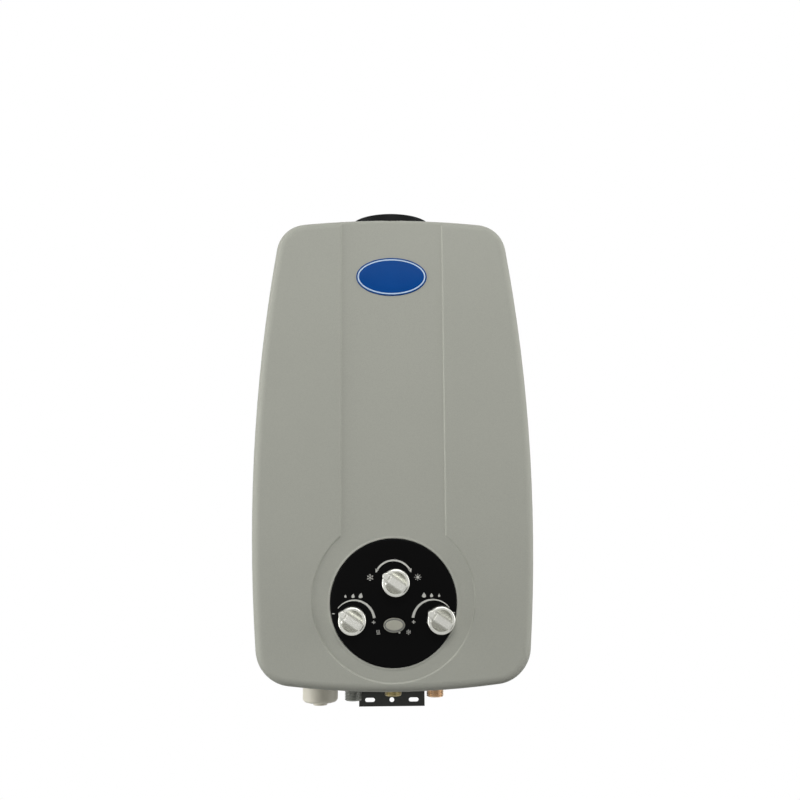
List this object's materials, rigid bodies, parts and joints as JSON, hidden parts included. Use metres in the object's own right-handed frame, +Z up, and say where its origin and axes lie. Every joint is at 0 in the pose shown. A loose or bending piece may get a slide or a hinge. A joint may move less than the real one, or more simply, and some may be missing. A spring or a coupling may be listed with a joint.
{
  "type": "instant gas water heater",
  "caption": "Wall-hung instant gas water heater with barrel-shaped pressed cover, round control panel, turning knobs, top flue spigot, threaded pipe connections and a twist-off battery cap.",
  "frame": {"origin": "midway between the two hanging holes, on the wall plane", "axes": "+Z up, front faces -Y, +X to the right seen from the front"},
  "size_m": [0.321, 0.1778, 0.6056],
  "materials": {
    "casing_paint": "satin silver-grey paint",
    "panel_black": "gloss black",
    "knob_satin": "satin plate",
    "brass": "machined",
    "indicator_rim": "satin silver",
    "indicator_face": "smooth grey",
    "grey_plastic": "moulded",
    "pointer_white": "white",
    "galvanised": "galvanised sheet",
    "bracket_black": "black powder coat",
    "screw_steel": "zinc plated",
    "flue_black": "dark enamel",
    "sheet_aluminium": "mill finish",
    "copper": "copper, bright",
    "burner_steel": "heat-tinted stainless",
    "solenoid_zinc": "zinc plated",
    "diaphragm_rubber": "black",
    "switch_black": "moulded",
    "switch_red": "moulded",
    "hot_steel": "grey steel",
    "cold_copper": "copper-toned brass",
    "electrode_ceramic": "unglazed white",
    "lead_sleeve": "silicone",
    "battery_wrap": "plain sleeve",
    "contact_spring": "nickel plated",
    "cap_white": "moulded white"
  },
  "bodies": {
    "heater": {"front_cover": "casing_paint", "control_panel": "panel_black", "injectors": "brass", "gas_inlet": "brass", "water_valve": "brass", "diaphragm_cover": "brass", "union_nut": "brass", "indicator_bezel": "indicator_rim", "indicator_lens": "indicator_face", "indicator_body": "grey_plastic", "battery_tube": "grey_plastic", "overheat_cutout": "grey_plastic", "back_plate": "galvanised", "connection_shelf": "galvanised", "standoff_brackets": "galvanised", "electrode_bracket": "galvanised", "lower_bracket": "bracket_black", "frame_screws": "screw_steel", "cover_screws": "screw_steel", "diaphragm_screws": "screw_steel", "flue_spigot": "flue_black", "draught_hood": "sheet_aluminium", "gas_manifold": "sheet_aluminium", "gas_valve": "sheet_aluminium", "season_valve": "sheet_aluminium", "combustion_chamber": "copper", "fin_pack": "copper", "exchanger_tubes": "copper", "return_bends": "copper", "inlet_pipe": "copper", "outlet_pipe": "copper", "burner_bars": "burner_steel", "burner_frame": "burner_steel", "solenoid_valve": "solenoid_zinc", "lock_nuts": "solenoid_zinc", "diaphragm": "diaphragm_rubber", "microswitch": "switch_black", "ignition_module": "switch_black", "hot_outlet": "hot_steel", "cold_inlet": "cold_copper", "spark_electrode": "electrode_ceramic", "flame_sensor": "electrode_ceramic", "ignition_lead": "lead_sleeve", "sensor_lead": "lead_sleeve", "battery": "battery_wrap", "battery_contact": "contact_spring"},
    "season_control": {"season_knob": "knob_satin", "season_spindle": "brass"},
    "gas_control": {"gas_knob": "knob_satin", "gas_spindle": "brass"},
    "water_control": {"water_knob": "knob_satin", "water_spindle": "brass"},
    "pointer": {"temperature_pointer": "pointer_white"},
    "battery_door": {"battery_cap": "cap_white", "cap_contact": "contact_spring"},
    "rod": {"push_rod": "brass", "switch_plunger": "switch_red"}
  },
  "joints": [
    {"name": "season_turn", "type": "hinge", "parent": "heater", "child": "season_control", "pos_m": [0.0024, -0.158, -0.37], "axis": [0, 1, 0], "range_deg": [0, 110]},
    {"name": "gas_turn", "type": "hinge", "parent": "heater", "child": "gas_control", "pos_m": [-0.046, -0.158, -0.411], "axis": [0, 1, 0], "range_deg": [0, 140]},
    {"name": "water_turn", "type": "hinge", "parent": "heater", "child": "water_control", "pos_m": [0.0525, -0.158, -0.411], "axis": [0, 1, 0], "range_deg": [-35, 130]},
    {"name": "pointer_sweep", "type": "hinge", "parent": "heater", "child": "pointer", "pos_m": [0.0006, -0.159, -0.4165], "axis": [0, 1, 0], "range_deg": [0, 70], "stiffness_Nm_per_rad": 0.002},
    {"name": "cap_twist", "type": "hinge", "parent": "heater", "child": "battery_door", "pos_m": [-0.0852, -0.09, -0.5], "axis": [0, 0, 1], "range_deg": [0, 90]},
    {"name": "rod_push", "type": "slide", "parent": "heater", "child": "rod", "axis": [-1, 0, 0], "range_m": [0, 0.004], "stiffness_N_per_m": 400}
  ]
}
